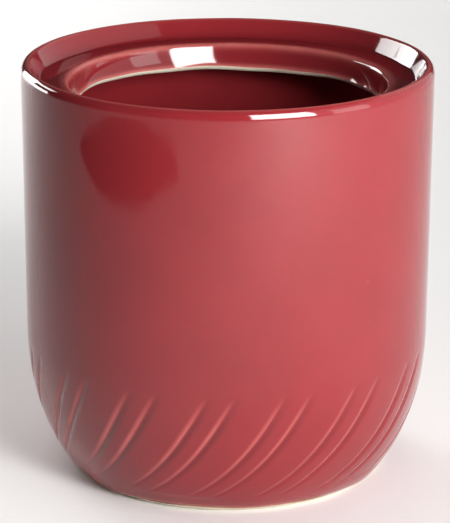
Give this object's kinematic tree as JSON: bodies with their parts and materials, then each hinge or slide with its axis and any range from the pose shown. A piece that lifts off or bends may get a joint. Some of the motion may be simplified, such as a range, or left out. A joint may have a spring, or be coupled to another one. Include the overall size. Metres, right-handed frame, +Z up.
{
  "type": "canister",
  "caption": "Lidless stoneware canister in burgundy glaze, with a swirl-grooved lower wall, a bare foot ring and a gallery ledge for a lid.",
  "frame": {"origin": "centre of the foot ring's resting face", "axes": "+Z up along the canister's axis; -Y is the side that faces the camera in the picture, +X is the picture's right"},
  "size_m": [0.16, 0.16, 0.163],
  "materials": {
    "clay": "bare cream stoneware, matte",
    "burgundy_glaze": "glossy burgundy glaze",
    "burgundy_glaze_inside": "glossy burgundy glaze",
    "burgundy_glaze_under": "glossy burgundy glaze"
  },
  "bodies": {
    "root": {"clay_body": "clay", "outer_glaze": "burgundy_glaze", "inner_glaze": "burgundy_glaze_inside", "underside_glaze": "burgundy_glaze_under"}
  },
  "joints": []
}
